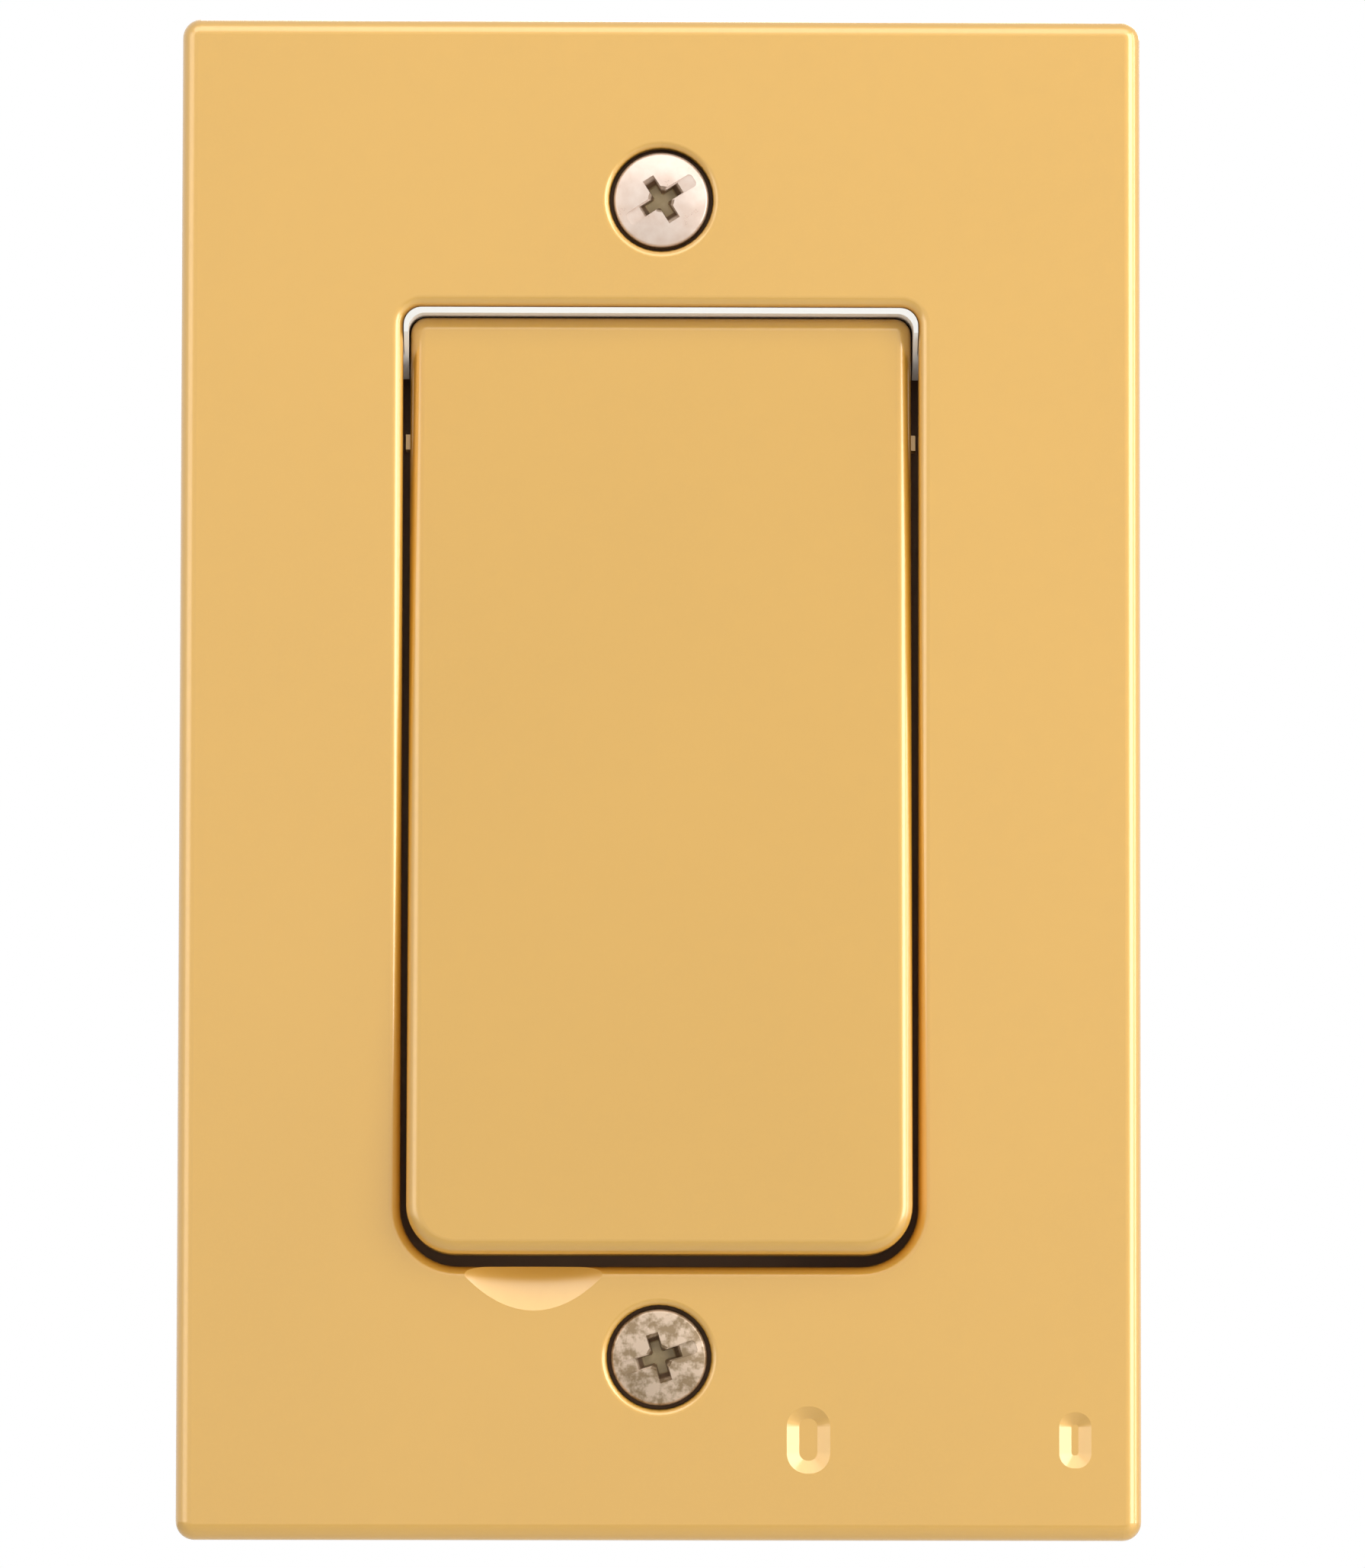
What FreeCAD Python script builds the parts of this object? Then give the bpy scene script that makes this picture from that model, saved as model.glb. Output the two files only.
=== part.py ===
"""Decorator wall switch: a large rocker paddle in a flat metal plate, over a two-way rocker mechanism.

Row frame, millimetres: +X right, +Y into the wall, +Z up. The wall surface is the plane y = 0 and the
origin is midway between the two box screws, so the plate and paddle stand at negative y and the mechanism
at positive y. The rocker is stored with its top end pressed in. Every sub-part is a solid of its own,
written to parts/NODE.step.
"""

import FreeCAD
import Part
import math
import os

V = FreeCAD.Vector

# ---- driving dimensions --------------------------------------------------------------------------
# face plate
PLATE_W = 69.2
PLATE_H = 109.5
PLATE_DEPTH = 6.0          # wall surface to front face
PLATE_SKIN = 1.8
PLATE_RIM = 1.8            # thickness of the four side walls
PLATE_CORNER_R = 1.35
PLATE_EDGE_R = 1.2         # round-over along the front outer edge
BOX_SCREW_SPACING = 83.3   # centre to centre, as on a standard 4 x 2 inch wall box

# opening for the paddle: nearly square corners at the top, wide ones at the bottom
OPENING_W = 37.2
OPENING_H = 69.1
OPENING_Z = -0.65          # centre height of the opening, paddle and pivot
OPENING_TOP_R = 1.3
OPENING_BOTTOM_R = 4.2
OPENING_EDGE_R = 0.8

# paddle
PADDLE_SIDE_GAP = 0.5
PADDLE_END_GAP = 0.72
PADDLE_TOP_R = 1.2
PADDLE_BOTTOM_R = 3.5
PADDLE_SKIN = 1.8
PADDLE_DEPTH = 4.4         # front face to the back of the skirt
PADDLE_SKIRT = 1.4
PADDLE_EDGE_R = 1.05
PADDLE_PROUD = 0.4         # level paddle's face in front of the plate's face
ROCKER_TILT = 3.5          # degrees each side of level
PIVOT_BEHIND_FACE = 4.0

# box screws
SCREW_D = 3.5
SCREW_NECK_D = 2.9         # under the head, thinner than the tail so that a washer can hold the screw
SCREW_HEAD_D = 6.9
SCREW_HEAD_H = 2.1
SEAT_PLAY = 0.3            # round the head in its counterbore
SCREW_SEAT_DEPTH = 2.0
SCREW_PLAY = 0.35          # round the shank in plate and strap
SCREW_TAIL = 16.0          # length of screw behind the wall surface
SCREW_SLOT_ANGLES = (32.6, 17.1)   # degrees above horizontal, upper and lower screw
SEAT_EDGE_R = 0.5
BOSS_WALL = 1.2            # plate boss round the counterbore
BOSS_ROOM = 0.2            # boss to front frame

# mounting strap
STRAP_T = 1.2
WASHER_T = 0.6             # fibre washer between the plate's boss and the strap
STRAP_END_GAP = 1.8        # strap end to the plate's rim
STRAP_RAIL = 4.2           # width of each side rail beside the window
STRAP_EAR_HALF_W = 16.0

# front frame, a tray that passes through the strap's window
FRAME_WALL = 0.9
FRAME_SIDE_ROOM = 1.0      # paddle's skirt to the tray's side walls
FRAME_END_ROOM = 1.07      # paddle's skirt to the tray's end walls
FRAME_FLOOR_Y = 1.2
FRAME_FLOOR_T = 1.4
FRAME_FLANGE_T = 1.2
WINDOW_GAP = 0.2           # tray to strap window, and tray to housing mouth

# pivot and carrier
TRUNNION_R = 1.1
TRUNNION_PLAY = 0.05
EAR_X0 = 11.4
EAR_T = 3.0
EAR_HALF_Z = 3.0
CARRIER_T = 1.6
CARRIER_HALF_W = 11.0
CARRIER_END_SPACE = 7.83   # carrier end to paddle end

# plunger and contact lever
TUBE_R = 3.2
TUBE_BORE_R = 2.1
TUBE_TO_LEVER = 5.3
PLUNGER_PLAY = 0.1
PLUNGER_CLEAR = 0.03       # plunger tip to the level lever
PLUNGER_NOSE_R = 1.5
LEVER_PIVOT_Y = 13.2
LEVER_TILT = 6.0
LEVER_T = 1.2
LEVER_W = 5.6
LEVER_HALF_L = 12.0
LEVER_BEHIND_PIVOT = 0.2   # lever's rear face in front of its pivot axis
FULCRUM_R = 0.8
FULCRUM_PLAY = 0.05
CONTACT_Z = 9.5
CONTACT_R = 1.8
CONTACT_H = 0.8
CONTACT_GAP = 0.05         # left in the closed pair, so that they touch nowhere by volume

# terminals and housing
STRIP_T = 1.0
STRIP_W = 6.0
BLOCK_W = 7.0
BLOCK_LEN = 8.37
BLOCK_TO_END = 7.5         # traveller block's middle to the housing's inner end
WIRE_BORE_R = 1.6
WIRE_BORE_DEPTH = 8.0
WIRE_ENTRY_R = 1.8
TERMINAL_SCREW_D = 3.5
TERMINAL_HEAD_D = 6.2
TERMINAL_HEAD_H = 2.2
HOUSING_WALL = 1.8
BODY_STEP_W = 5.2          # mouth to deep body, each side
BODY_STEP_H = 9.0          # mouth to deep body, each end
HOUSING_MOUTH_DEPTH = 3.6
MOUTH_WALL = 1.3
RIVET_D = 2.4
RIVET_HEAD_D = 4.2
RIVET_HEAD_H = 0.6
RIVET_X = 14.0
LUG_PAST_RIVET = 2.4
LUG_T = 2.0

# ---- worked-out places ---------------------------------------------------------------------------
PLATE_FRONT = -PLATE_DEPTH
PLATE_SKIN_BACK = PLATE_FRONT + PLATE_SKIN
SCREW_Z = BOX_SCREW_SPACING / 2
SCREW_HOLE_D = SCREW_D + 2 * SCREW_PLAY
SCREW_SEAT_D = SCREW_HEAD_D + 2 * SEAT_PLAY
SCREW_SEAT_Y = PLATE_FRONT + SCREW_SEAT_DEPTH
PLATE_BOSS_D = SCREW_SEAT_D + 2 * BOSS_WALL
PADDLE_HALF_W = OPENING_W / 2 - PADDLE_SIDE_GAP
PADDLE_HALF_H = OPENING_H / 2 - PADDLE_END_GAP
PADDLE_FRONT = PLATE_FRONT - PADDLE_PROUD
PADDLE_SKIN_BACK = PADDLE_FRONT + PADDLE_SKIN
PADDLE_BACK = PADDLE_FRONT + PADDLE_DEPTH
PIVOT_Y = PADDLE_FRONT + PIVOT_BEHIND_FACE
PIVOT = V(0, PIVOT_Y, OPENING_Z)
LEVER_PIVOT = V(0, LEVER_PIVOT_Y, OPENING_Z)
TRAY_HALF_W = PADDLE_HALF_W + FRAME_SIDE_ROOM
TRAY_HALF_H = PADDLE_HALF_H + FRAME_END_ROOM
WINDOW_HALF_W = TRAY_HALF_W + FRAME_WALL + WINDOW_GAP
WINDOW_HALF_H = TRAY_HALF_H + FRAME_WALL + WINDOW_GAP
FRAME_FLOOR_BACK = FRAME_FLOOR_Y + FRAME_FLOOR_T
STRAP_HALF_W = WINDOW_HALF_W + STRAP_RAIL
STRAP_HALF_L = PLATE_H / 2 - PLATE_RIM - STRAP_END_GAP
WASHER_FRONT = -STRAP_T - WASHER_T
LEVER_BACK = LEVER_PIVOT_Y - LEVER_BEHIND_PIVOT
LEVER_FRONT = LEVER_BACK - LEVER_T
PLUNGER_TIP = LEVER_FRONT - PLUNGER_CLEAR
TUBE_END = LEVER_FRONT - TUBE_TO_LEVER
MOVING_TIP_BACK = LEVER_BACK + CONTACT_H
CLOSED_REACH = (LEVER_PIVOT_Y + (MOVING_TIP_BACK - LEVER_PIVOT_Y) * math.cos(math.radians(LEVER_TILT))
                + (CONTACT_Z + CONTACT_R) * math.sin(math.radians(LEVER_TILT)))
STRIP_FRONT = CLOSED_REACH + CONTACT_GAP + CONTACT_H
BLOCK_FRONT = STRIP_FRONT + STRIP_T
HOUSING_FLOOR = BLOCK_FRONT + BLOCK_LEN
HOUSING_DEPTH = HOUSING_FLOOR + HOUSING_WALL
HOUSING_HALF_IN_W = WINDOW_HALF_W - BODY_STEP_W
HOUSING_HALF_IN_H = WINDOW_HALF_H - BODY_STEP_H
BLOCK_Z = HOUSING_HALF_IN_H - BLOCK_TO_END
BLOCK_X0 = HOUSING_HALF_IN_W - BLOCK_W
BLOCK_MID_X = BLOCK_X0 + 2.2
TERMINAL_SCREW_Y = HOUSING_FLOOR - WIRE_BORE_DEPTH / 2 - 1.2
RIVET_Z = WINDOW_HALF_H + MOUTH_WALL + RIVET_HEAD_D / 2 + 0.2
LUG_HALF_H = RIVET_Z + LUG_PAST_RIVET
CARRIER_BACK = PADDLE_SKIN_BACK + CARRIER_T
CARRIER_HALF_H = PADDLE_HALF_H - CARRIER_END_SPACE


# ---- helpers -------------------------------------------------------------------------------------
def box(x0, x1, y0, y1, z0, z1):
    """Box between two corners."""
    return Part.makeBox(x1 - x0, y1 - y0, z1 - z0, V(x0, y0, z0))


def rod_y(x, z, radius, y0, y1):
    """Cylinder along Y."""
    return Part.makeCylinder(radius, y1 - y0, V(x, y0, z), V(0, 1, 0))


def rod_x(y, z, radius, x0, x1):
    """Cylinder along X."""
    return Part.makeCylinder(radius, x1 - x0, V(x0, y, z), V(1, 0, 0))


def union(shapes):
    """One solid from several that touch."""
    first, rest = shapes[0], shapes[1:]
    return first.multiFuse(rest).removeSplitter() if rest else first


def outline(half_w, half_h, top_r, bottom_r, y, cx=0.0, cz=0.0):
    """Closed wire in the plane y: a rectangle with its own radius at the top and bottom corners."""
    corners = (  # centre signs, radius, start angle
        (1, 1, top_r, 0), (-1, 1, top_r, 90), (-1, -1, bottom_r, 180), (1, -1, bottom_r, 270))
    edges, ends = [], []
    for sx, sz, r, start in corners:
        mx, mz = cx + sx * (half_w - r), cz + sz * (half_h - r)
        pts = [V(mx + r * math.cos(math.radians(a)), y, mz + r * math.sin(math.radians(a)))
               for a in (start, start + 45, start + 90)]
        edges.append(Part.Arc(*pts).toShape())
        ends.append((pts[0], pts[2]))
    sides = [Part.LineSegment(ends[i][1], ends[(i + 1) % 4][0]).toShape() for i in range(4)]
    ordered = [e for pair in zip(edges, sides) for e in pair]
    return Part.Wire(ordered)


def slab(half_w, half_h, y0, y1, top_r, bottom_r=None, cx=0.0, cz=0.0):
    """Plate with rounded corners between the planes y0 and y1."""
    wire = outline(half_w, half_h, top_r, top_r if bottom_r is None else bottom_r, y0, cx, cz)
    return Part.Face(wire).extrude(V(0, y1 - y0, 0))


def edges_at(shape, y, keep):
    """Edges that lie in the plane y and for which keep(bounding box) is true."""
    flat = [e for e in shape.Edges if abs(e.BoundBox.YMin - y) < 1e-4 and abs(e.BoundBox.YMax - y) < 1e-4]
    return [e for e in flat if keep(e.BoundBox)]


def turned(shape, pivot, degrees):
    """Copy turned about the X axis through pivot."""
    copy = shape.copy()
    copy.rotate(pivot, V(1, 0, 0), degrees)
    return copy


def both_ends(make):
    """make(+1) and make(-1) as one group of two solids."""
    return Part.makeCompound([make(1), make(-1)])


# ---- face plate ----------------------------------------------------------------------------------
LABEL_X = PLATE_W / 2 - 14.35
LABEL_Z = -PLATE_H / 2 + 7.25
LABEL_SPACING = 19.1
GROOVES = ((-1, 3.3, 5.0), (1, 2.5, 4.2))   # side, width and height of each
GROOVE_SINK, GROOVE_SLOPE = 0.45, 1.0
NOTCH_X = -9.0
NOTCH_HALF_W, NOTCH_REACH, NOTCH_SINK = 5.7, 3.1, 1.15


def label_groove(side, width, height):
    """Shallow upright groove at one end of the bare label place, widening to the face."""
    x = LABEL_X + side * LABEL_SPACING / 2
    over = 0.1
    floor_w, floor_h = width / 2 - GROOVE_SLOPE, height / 2 - GROOVE_SLOPE
    floor_r = floor_w - 0.05
    top = outline(width / 2 + over, height / 2 + over, width / 2, width / 2, PLATE_FRONT - over, x, LABEL_Z)
    bottom = outline(floor_w, floor_h, floor_r, floor_r, PLATE_FRONT + GROOVE_SINK, x, LABEL_Z)
    return Part.makeLoft([top, bottom], True, True)


def pry_notch():
    """Scoop for a blade under the opening: a cylinder that runs out of the face below the edge."""
    radius = (NOTCH_HALF_W ** 2 + NOTCH_SINK ** 2) / (2 * NOTCH_SINK)
    edge_z = OPENING_Z - OPENING_H / 2
    slope = math.atan(NOTCH_SINK / NOTCH_REACH)
    along = V(0, -math.sin(slope), -math.cos(slope))
    across = V(0, -math.cos(slope), math.sin(slope))
    start = V(NOTCH_X, PLATE_FRONT + NOTCH_SINK, edge_z) + across * radius - along * 3
    return Part.makeCylinder(radius, 12, start, along)


def face_plate():
    half_w, half_h = PLATE_W / 2, PLATE_H / 2
    body = slab(half_w, half_h, PLATE_FRONT, 0, PLATE_CORNER_R)
    body = body.makeFillet(PLATE_EDGE_R, edges_at(body, PLATE_FRONT, lambda b: True))
    hollow = slab(half_w - PLATE_RIM, half_h - PLATE_RIM, PLATE_SKIN_BACK, 1, 0.6)
    bosses = [rod_y(0, s * SCREW_Z, PLATE_BOSS_D / 2, PLATE_SKIN_BACK - 0.5, WASHER_FRONT) for s in (1, -1)]
    body = union([body.cut(hollow)] + bosses)
    holes = [slab(OPENING_W / 2, OPENING_H / 2, PLATE_FRONT - 1, PLATE_SKIN_BACK + 1, OPENING_TOP_R,
                  OPENING_BOTTOM_R, 0, OPENING_Z)]
    for s in (1, -1):
        holes.append(rod_y(0, s * SCREW_Z, SCREW_SEAT_D / 2, PLATE_FRONT - 1, SCREW_SEAT_Y))
        holes.append(rod_y(0, s * SCREW_Z, SCREW_HOLE_D / 2, PLATE_FRONT, 0))
    body = body.cut(holes)

    def at_opening(b):
        return abs(b.XMin) < OPENING_W / 2 + 0.1 and b.ZMax < OPENING_Z + OPENING_H / 2 + 0.1 and \
            b.ZMin > OPENING_Z - OPENING_H / 2 - 0.1

    def at_seat(b):
        centred = abs(b.Center.x) < 0.1 and abs(b.Center.z) > SCREW_Z - 1
        return centred and b.XMax - b.XMin < SCREW_SEAT_D + 0.1
    body = body.makeFillet(OPENING_EDGE_R, edges_at(body, PLATE_FRONT, at_opening))
    body = body.makeFillet(SEAT_EDGE_R, edges_at(body, PLATE_FRONT, at_seat))
    return body.cut([label_groove(*groove) for groove in GROOVES] + [pry_notch()])


# ---- box screws ----------------------------------------------------------------------------------
HEAD_DOME = 0.55
CROSS_SPAN, CROSS_WING, CROSS_DEPTH = 3.85, 0.95, 1.5
CROSS_FLOOR_HALF, CROSS_FLOOR_WING = 1.1, 0.3
SLOT_LEN, SLOT_W, SLOT_DEPTH = 5.6, 1.0, 0.5
TIP_CHAMFER = 0.6
WASHER_HALF_W, WASHER_HALF_H = 4.2, 3.4
WASHER_PLAY = 0.05         # round the screw's neck
NECK_END = -0.05           # the full-diameter tail starts inside the strap's slot


def drive_recess(front):
    """Cross recess whose wings taper to the centre, with a slot through one pair of wings."""
    cross = []
    for turn in (0, 90):
        half, wing = CROSS_SPAN / 2, CROSS_WING / 2
        wide = Part.makePolygon([V(-half, front, -wing), V(half, front, -wing), V(half, front, wing),
                                 V(-half, front, wing), V(-half, front, -wing)])
        deep = front + CROSS_DEPTH
        low, thin = CROSS_FLOOR_HALF, CROSS_FLOOR_WING
        narrow = Part.makePolygon([V(-low, deep, -thin), V(low, deep, -thin), V(low, deep, thin),
                                   V(-low, deep, thin), V(-low, deep, -thin)])
        wing_solid = Part.makeLoft([wide, narrow], True, True)
        wing_solid.rotate(V(0, 0, 0), V(0, 1, 0), turn)
        cross.append(wing_solid)
    centre = Part.makeCone(1.0, 0.5, CROSS_DEPTH, V(0, front, 0), V(0, 1, 0))
    slot = slab(SLOT_LEN / 2, SLOT_W / 2, front - 1, front + SLOT_DEPTH, 0.3)
    return cross + [centre, slot]


def box_screw(side):
    """Pan-headed captive screw: head, thin neck, and a tail at the thread's outer diameter."""
    seat = SCREW_SEAT_Y
    front = seat - SCREW_HEAD_H
    rim_front = front + HEAD_DOME
    r = SCREW_HEAD_D / 2
    rise = HEAD_DOME
    dome_r = (r * r + rise * rise) / (2 * rise)
    ball = Part.makeSphere(dome_r, V(0, front + dome_r, 0))
    head = rod_y(0, 0, r, front, seat).common(ball)
    rim = edges_at(head, rim_front, lambda b: True)
    head = head.makeFillet(0.3, rim) if rim else head
    neck = rod_y(0, 0, SCREW_NECK_D / 2, seat - 0.5, NECK_END + 0.5)
    tail = rod_y(0, 0, SCREW_D / 2, NECK_END, SCREW_TAIL)
    tail = tail.makeChamfer(TIP_CHAMFER, edges_at(tail, SCREW_TAIL, lambda b: True))
    screw = union([head, neck, tail]).cut(drive_recess(front - 0.1))
    angle = SCREW_SLOT_ANGLES[0 if side > 0 else 1]
    screw.rotate(V(0, 0, 0), V(0, 1, 0), -angle)
    screw.translate(V(0, 0, side * SCREW_Z))
    return screw


def captive_washer(side):
    """Fibre washer in front of the strap, too tight for the tail, so the screw stays with the switch."""
    plate = slab(WASHER_HALF_W, WASHER_HALF_H, WASHER_FRONT, -STRAP_T, 1.2, cz=side * SCREW_Z)
    return plate.cut(rod_y(0, side * SCREW_Z, SCREW_NECK_D / 2 + WASHER_PLAY, WASHER_FRONT - 1, 0))


# ---- mounting strap ------------------------------------------------------------------------------
EARTH_X, EARTH_Y = -14.0, 5.6
EARTH_Z = -STRAP_HALF_L + 4.6
EARTH_TAB_HALF, EARTH_TAB_DEPTH = 3.3, 9.4
EARTH_SCREW_R = 1.75


def mounting_strap():
    shoulder = RIVET_Z + 2.6
    body = union([
        slab(STRAP_HALF_W, shoulder, -STRAP_T, 0, 3.0),
        slab(STRAP_EAR_HALF_W, STRAP_HALF_L, -STRAP_T, 0, 3.5),
        slab(STRAP_T / 2, EARTH_TAB_HALF, -STRAP_T, EARTH_TAB_DEPTH, 0.5, cx=EARTH_X, cz=EARTH_Z),
    ])
    cuts = [slab(WINDOW_HALF_W, WINDOW_HALF_H, -STRAP_T - 1, 1, 1.5, cz=OPENING_Z),
            rod_x(EARTH_Y, EARTH_Z, EARTH_SCREW_R + 0.05, EARTH_X - 3, EARTH_X + 3)]
    for sz in (1, -1):
        cuts.append(slab(3.4, SCREW_HOLE_D / 2, -STRAP_T - 1, 1, SCREW_HOLE_D / 2 - 0.01, cz=sz * SCREW_Z))
        for sx in (1, -1):
            cuts.append(rod_y(sx * RIVET_X, OPENING_Z + sz * RIVET_Z, RIVET_D / 2 + 0.05, -STRAP_T - 1, 1))
            # score lines of the break-off plaster ears
            cuts.append(box(sx * 9.4 - 0.3, sx * 9.4 + 0.3, -STRAP_T - 1, 1,
                            sz * (STRAP_HALF_L - 2.2) - 2.4, sz * (STRAP_HALF_L - 2.2) + 2.4))
    return body.cut(cuts)


def earth_screw():
    """Green bonding screw in the strap's rearward tab, its head outwards."""
    head_x = EARTH_X - STRAP_T / 2
    clamp_t, head_h, head_r = 0.8, 2.4, 3.1
    shank = rod_x(EARTH_Y, EARTH_Z, EARTH_SCREW_R, head_x - clamp_t, EARTH_X + 4.2)
    head = rod_x(EARTH_Y, EARTH_Z, head_r, head_x - clamp_t - head_h, head_x - clamp_t)
    slot = box(head_x - 10, head_x - clamp_t - head_h + 1.0, EARTH_Y - 0.5, EARTH_Y + 0.5,
               EARTH_Z - 4, EARTH_Z + 4)
    return union([shank, head]).cut(slot)


def earth_clamp():
    x1 = EARTH_X - STRAP_T / 2
    square = box(x1 - 0.8, x1, EARTH_Y - 3.2, EARTH_Y + 3.2, EARTH_Z - 3.2, EARTH_Z + 3.2)
    return square.cut(rod_x(EARTH_Y, EARTH_Z, EARTH_SCREW_R + 0.05, x1 - 2, x1 + 1))


# ---- front frame ---------------------------------------------------------------------------------
FRAME_FRONT = -STRAP_T - FRAME_FLANGE_T
LIP_SHOULDER = PLATE_SKIN_BACK + 0.1     # behind the plate, where the edging is at its widest
LIP_FRONT = PLATE_FRONT + 0.25            # almost level with the plate's face
LIP_ROOM = 0.24            # level paddle's upper end to the lip
LIP_SIDE_ROOM = 0.12       # paddle's sides to the lip's arms
LIP_PLAY = 0.06            # lip to the walls of the plate's opening
LIP_ARM_FULL, LIP_ARM_END = 3.0, 6.2   # below the lip's top: its arms start to slope, and end
FLANGE_HALF_W = 18.5
PAD_Z = CARRIER_HALF_H - 4.0
PAD_R, PAD_CLEAR = 3.0, 0.06


def gap_lip():
    """White edging on the frame's upper rim, over the paddle's end, with two arms that slope away."""
    half_w, half_h = TRAY_HALF_W + FRAME_WALL, TRAY_HALF_H + FRAME_WALL
    inner_w, inner_h = PADDLE_HALF_W + LIP_SIDE_ROOM, PADDLE_HALF_H + LIP_ROOM
    ring = union([slab(half_w, half_h, LIP_SHOULDER, FRAME_FRONT, 1.5, cz=OPENING_Z),
                  slab(OPENING_W / 2 - LIP_PLAY, OPENING_H / 2 - LIP_PLAY, LIP_FRONT, FRAME_FRONT,
                       OPENING_TOP_R, OPENING_BOTTOM_R, cz=OPENING_Z)])
    ring = ring.cut(slab(inner_w, inner_h, LIP_FRONT - 1, 1, PADDLE_TOP_R, 3.0, cz=OPENING_Z))
    top = OPENING_Z + half_h
    profile = [(LIP_FRONT - 0.1, top + 1), (LIP_FRONT - 0.1, top - LIP_ARM_FULL),
               (FRAME_FRONT, top - LIP_ARM_END), (FRAME_FRONT + 0.1, top - LIP_ARM_END),
               (FRAME_FRONT + 0.1, top + 1)]
    corners = [V(-30, y, z) for y, z in profile + profile[:1]]
    wedge = Part.Face(Part.makePolygon(corners)).extrude(V(60, 0, 0))
    return ring.common(wedge)


def front_frame():
    """Moulded tray in the strap's window, with bearing ears for the rocker and a flange at each end."""
    half_w, half_h = TRAY_HALF_W + FRAME_WALL, TRAY_HALF_H + FRAME_WALL
    tray = slab(half_w, half_h, FRAME_FRONT, FRAME_FLOOR_BACK, 1.5, cz=OPENING_Z)
    tray = tray.cut(slab(TRAY_HALF_W, TRAY_HALF_H, -10, FRAME_FLOOR_Y, 0.8, cz=OPENING_Z))
    flanges = []
    for s in (1, -1):
        z0, z1 = sorted((OPENING_Z + s * (half_h - 0.3), OPENING_Z + s * LUG_HALF_H))
        bar = box(-FLANGE_HALF_W, FLANGE_HALF_W, FRAME_FRONT, -STRAP_T, z0, z1)
        flanges.append(bar)
    ears = []
    for s in (1, -1):
        x0, x1 = sorted((s * EAR_X0, s * (EAR_X0 + EAR_T)))
        ears.append(box(x0, x1, PIVOT_Y - 1.75, FRAME_FLOOR_Y + 0.2,
                        OPENING_Z - EAR_HALF_Z, OPENING_Z + EAR_HALF_Z))
    body = union([tray] + flanges + ears)
    cuts = [rod_x(PIVOT_Y, OPENING_Z, TRUNNION_R + TRUNNION_PLAY, -20, 20).common(
                box(-EAR_X0 - EAR_T - 0.1, EAR_X0 + EAR_T + 0.1, -10, 10, -10, 10)),
            rod_y(0, OPENING_Z, TUBE_R + 0.9, 0, 10)]
    cuts += [rod_y(0, s * SCREW_Z, PLATE_BOSS_D / 2 + BOSS_ROOM, PLATE_SKIN_BACK, 0) for s in (1, -1)]
    for sx in (1, -1):
        for sz in (1, -1):
            cuts.append(rod_y(sx * RIVET_X, OPENING_Z + sz * RIVET_Z, RIVET_D / 2 + 0.05, -6, 2))
    return body.cut(cuts)


def stop_pad(side):
    """Soft disc on the tray floor that stops and quietens the rocker."""
    contact = PIVOT_Y + math.cos(math.radians(ROCKER_TILT)) * (CARRIER_BACK - PIVOT_Y) \
        + math.sin(math.radians(ROCKER_TILT)) * (PAD_Z + PAD_R) + PAD_CLEAR
    return rod_y(0, OPENING_Z + side * PAD_Z, PAD_R, contact, FRAME_FLOOR_Y)


def rivet(sx, sz):
    """Tubular rivet through frame flange, strap and housing lug."""
    x, z = sx * RIVET_X, OPENING_Z + sz * RIVET_Z
    front, back = FRAME_FRONT, LUG_T
    return union([rod_y(x, z, RIVET_D / 2, front - RIVET_HEAD_H, back + RIVET_HEAD_H),
                  rod_y(x, z, RIVET_HEAD_D / 2, front - RIVET_HEAD_H, front),
                  rod_y(x, z, RIVET_HEAD_D / 2, back, back + RIVET_HEAD_H)]).cut(
        rod_y(x, z, RIVET_D / 2 - 0.5, front - 2, back + 2))


# ---- rocker --------------------------------------------------------------------------------------
HOOK_X = 8.6
HOOK_Z = CARRIER_HALF_H - 9.0
HOOK_T, HOOK_W, HOOK_BARB = 1.2, 4.0, 0.5
NUB_Z = PADDLE_HALF_H - 9.0
NUB_H, NUB_OUT = 1.1, 0.33
RIB_T = 1.0


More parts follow.
